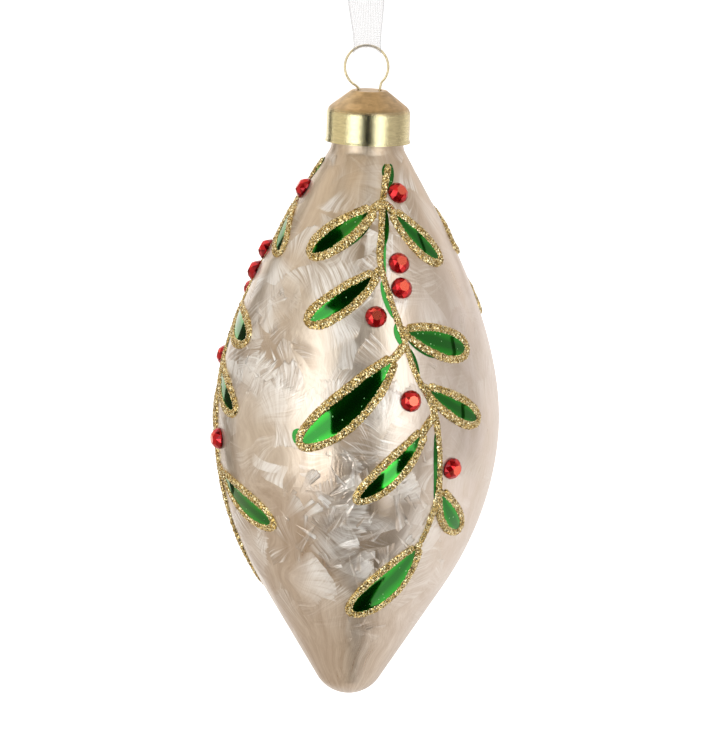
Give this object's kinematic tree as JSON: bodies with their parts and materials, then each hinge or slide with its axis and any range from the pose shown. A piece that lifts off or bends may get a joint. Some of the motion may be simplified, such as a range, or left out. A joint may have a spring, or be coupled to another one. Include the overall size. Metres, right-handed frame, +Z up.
{
  "type": "glass finial ornament",
  "caption": "Frosted glass finial drop with painted leaf and berry sprigs, a gold cap, a sprung wire hanger ring and a sheer ribbon loop to hang it by.",
  "frame": {"origin": "hanging point, inside the top of the ribbon loop under its knot", "axes": "+Z up along the ornament's axis, which stands 2.6 mm to the +X side of the hanging point because the ribbon leans; the ring's plane is XZ, so -Y faces the viewer and the ribbon runs through the ring along Y"},
  "size_m": [0.0783, 0.0788, 0.2204],
  "materials": {
    "frosted_glass": "blown glass, silvered inside, champagne ice-crystal frost outside",
    "gold_cap": "drawn metal, bright gold band and satin cone",
    "gold_wire": "bright drawn wire, pale gold",
    "sheer_ribbon": "sheer woven ribbon with closer selvedges",
    "gold_glitter": "gold glitter set in clear glue",
    "green_lacquer": "clear green lacquer over silvered glass",
    "red_stone": "faceted red acrylic stone, foiled back"
  },
  "bodies": {
    "ribbon_top": {"ribbon_upper": "sheer_ribbon"},
    "ribbon_end": {"ribbon_lower": "sheer_ribbon"},
    "hanger": {"wire_hanger": "gold_wire"},
    "cap": {"cap": "gold_cap"},
    "drop": {"glass_body": "frosted_glass", "glitter_front": "gold_glitter", "glitter_right": "gold_glitter", "glitter_left": "gold_glitter", "leaf_front_1": "green_lacquer", "leaf_front_2": "green_lacquer", "leaf_front_3": "green_lacquer", "leaf_front_4": "green_lacquer", "leaf_front_5": "green_lacquer", "leaf_front_6": "green_lacquer", "leaf_front_7": "green_lacquer", "leaf_front_8": "green_lacquer", "leaf_front_9": "green_lacquer", "leaf_right_1": "green_lacquer", "leaf_right_2": "green_lacquer", "leaf_right_3": "green_lacquer", "leaf_right_4": "green_lacquer", "leaf_right_5": "green_lacquer", "leaf_right_6": "green_lacquer", "leaf_right_7": "green_lacquer", "leaf_right_8": "green_lacquer", "leaf_right_9": "green_lacquer", "leaf_left_1": "green_lacquer", "leaf_left_2": "green_lacquer", "leaf_left_3": "green_lacquer", "leaf_left_4": "green_lacquer", "leaf_left_5": "green_lacquer", "leaf_left_6": "green_lacquer", "leaf_left_7": "green_lacquer", "leaf_left_8": "green_lacquer", "leaf_left_9": "green_lacquer", "stone_front_1": "red_stone", "stone_front_2": "red_stone", "stone_front_3": "red_stone", "stone_front_4": "red_stone", "stone_front_5": "red_stone", "stone_front_6": "red_stone", "stone_right_1": "red_stone", "stone_right_2": "red_stone", "stone_right_3": "red_stone", "stone_right_4": "red_stone", "stone_right_5": "red_stone", "stone_right_6": "red_stone", "stone_left_1": "red_stone", "stone_left_2": "red_stone", "stone_left_3": "red_stone", "stone_left_4": "red_stone", "stone_left_5": "red_stone", "stone_left_6": "red_stone"}
  },
  "joints": [
    {"name": "ribbon_twist", "type": "hinge", "parent": "ribbon_top", "child": "ribbon_end", "pos_m": [0.0009, 0, -0.014], "axis": [0, 0, 1], "range_deg": [-90, 90]},
    {"name": "ring_swing", "type": "hinge", "parent": "ribbon_end", "child": "hanger", "pos_m": [0.00155, 0, -0.024], "axis": [1, 0, 0], "range_deg": [-80, 80]},
    {"name": "hanger_draw", "type": "slide", "parent": "hanger", "child": "cap", "axis": [0, 0, -1], "range_m": [0, 0.004]},
    {"name": "cap_pull", "type": "slide", "parent": "cap", "child": "drop", "axis": [0, 0, -1], "range_m": [0, 0.03]}
  ]
}
